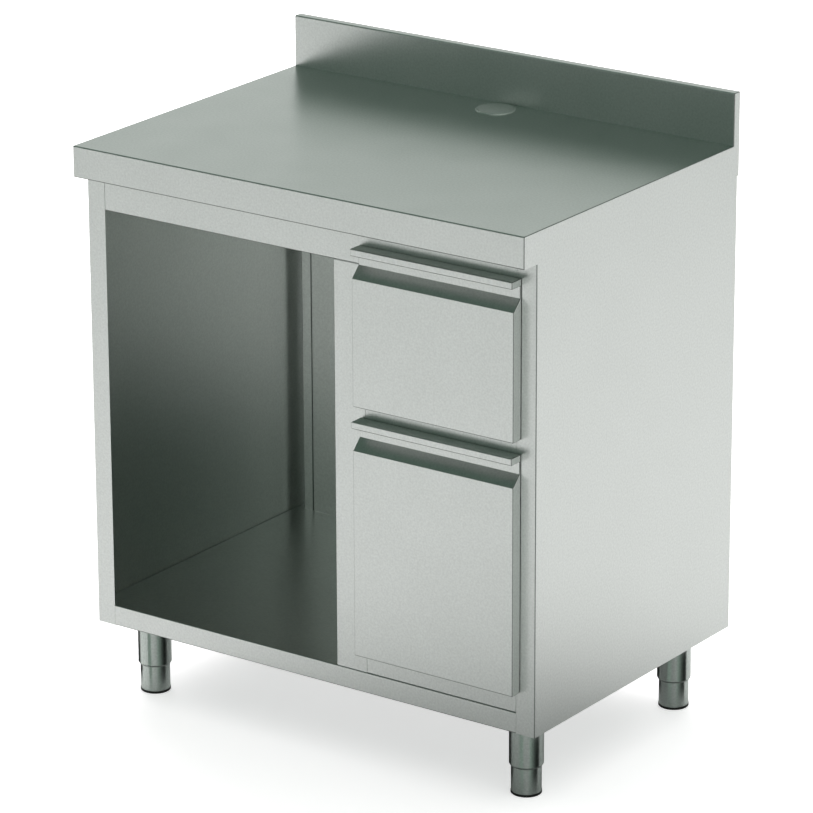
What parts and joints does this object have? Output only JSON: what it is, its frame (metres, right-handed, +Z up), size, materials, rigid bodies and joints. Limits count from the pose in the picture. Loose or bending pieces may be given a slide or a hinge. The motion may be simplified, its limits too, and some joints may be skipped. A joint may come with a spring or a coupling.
{
  "type": "waiter service station",
  "caption": "Stainless steel service station with an open compartment, two deep drawers with recessed grips, a worktop with upstand and cable outlet, and adjustable round legs.",
  "frame": {"origin": "on the floor at the centre of the worktop's outline", "axes": "+X to the right along the front, +Y to the back, +Z up"},
  "size_m": [1, 0.705, 1.2],
  "materials": {
    "satin_stainless": "satin ground sheet",
    "polished_steel": "fine turned",
    "zinc_plated_steel": "zinc plated",
    "coated_board": "sealed chipboard",
    "black_plastic": "moulded",
    "black_rubber": "moulded"
  },
  "bodies": {
    "carcass": {"back_panel": "satin_stainless", "back_rivets": "zinc_plated_steel", "base_deck": "satin_stainless", "bearer_left": "zinc_plated_steel", "bearer_right": "zinc_plated_steel", "cable_outlet_ring": "polished_steel", "divider": "satin_stainless", "drawer_wall": "satin_stainless", "leg_inserts": "zinc_plated_steel", "leg_screws": "zinc_plated_steel", "leg_sleeve_front_left": "satin_stainless", "leg_sleeve_front_right": "satin_stainless", "leg_sleeve_rear_left": "satin_stainless", "leg_sleeve_rear_right": "satin_stainless", "lower_drawer_runner_cabinet_left": "zinc_plated_steel", "lower_drawer_runner_cabinet_right": "zinc_plated_steel", "lower_rail": "satin_stainless", "middle_rail": "satin_stainless", "rear_rails": "satin_stainless", "rear_upright_left": "satin_stainless", "rear_upright_right": "satin_stainless", "runner_post_front": "satin_stainless", "runner_post_rear": "satin_stainless", "runner_screws": "zinc_plated_steel", "side_panel_left": "satin_stainless", "side_panel_right": "satin_stainless", "top_rail": "satin_stainless", "upper_drawer_runner_cabinet_left": "zinc_plated_steel", "upper_drawer_runner_cabinet_right": "zinc_plated_steel", "worktop": "satin_stainless", "worktop_board": "coated_board", "worktop_screws": "zinc_plated_steel"},
    "upper_drawer": {"upper_drawer_box": "satin_stainless", "upper_drawer_buffers": "black_rubber", "upper_drawer_front": "satin_stainless", "upper_drawer_liner": "satin_stainless", "upper_drawer_runner_drawer_left": "zinc_plated_steel", "upper_drawer_runner_drawer_right": "zinc_plated_steel", "upper_drawer_screws": "zinc_plated_steel"},
    "upper_runners": {"upper_drawer_runner_middle_left": "zinc_plated_steel", "upper_drawer_runner_middle_right": "zinc_plated_steel"},
    "lower_drawer": {"lower_drawer_box": "satin_stainless", "lower_drawer_buffers": "black_rubber", "lower_drawer_front": "satin_stainless", "lower_drawer_liner": "satin_stainless", "lower_drawer_runner_drawer_left": "zinc_plated_steel", "lower_drawer_runner_drawer_right": "zinc_plated_steel", "lower_drawer_screws": "zinc_plated_steel"},
    "lower_runners": {"lower_drawer_runner_middle_left": "zinc_plated_steel", "lower_drawer_runner_middle_right": "zinc_plated_steel"},
    "outlet_lid": {"cable_outlet_lid": "polished_steel"},
    "foot_front_left": {"foot_front_left": "satin_stainless", "foot_tip_front_left": "black_plastic"},
    "foot_front_right": {"foot_front_right": "satin_stainless", "foot_tip_front_right": "black_plastic"},
    "foot_rear_left": {"foot_rear_left": "satin_stainless", "foot_tip_rear_left": "black_plastic"},
    "foot_rear_right": {"foot_rear_right": "satin_stainless", "foot_tip_rear_right": "black_plastic"}
  },
  "joints": [
    {"name": "upper_drawer_travel", "type": "slide", "parent": "carcass", "child": "upper_drawer", "axis": [0, -1, 0], "range_m": [0, 0.5]},
    {"name": "upper_runner_travel", "type": "slide", "parent": "carcass", "child": "upper_runners", "axis": [0, -1, 0], "range_m": [0, 0.25]},
    {"name": "lower_drawer_travel", "type": "slide", "parent": "carcass", "child": "lower_drawer", "axis": [0, -1, 0], "range_m": [0, 0.5]},
    {"name": "lower_runner_travel", "type": "slide", "parent": "carcass", "child": "lower_runners", "axis": [0, -1, 0], "range_m": [0, 0.25]},
    {"name": "outlet_lid_lift", "type": "slide", "parent": "carcass", "child": "outlet_lid", "axis": [0, 0, 1], "range_m": [0, 0.06]},
    {"name": "foot_front_left_adjustment", "type": "slide", "parent": "carcass", "child": "foot_front_left", "axis": [0, 0, -1], "range_m": [0, 0.035]},
    {"name": "foot_front_right_adjustment", "type": "slide", "parent": "carcass", "child": "foot_front_right", "axis": [0, 0, -1], "range_m": [0, 0.035]},
    {"name": "foot_rear_left_adjustment", "type": "slide", "parent": "carcass", "child": "foot_rear_left", "axis": [0, 0, -1], "range_m": [0, 0.035]},
    {"name": "foot_rear_right_adjustment", "type": "slide", "parent": "carcass", "child": "foot_rear_right", "axis": [0, 0, -1], "range_m": [0, 0.035]}
  ],
  "couplings": [
    {"joint": "upper_runner_travel", "follows": "upper_drawer_travel", "ratio": 0.5},
    {"joint": "lower_runner_travel", "follows": "lower_drawer_travel", "ratio": 0.5}
  ]
}
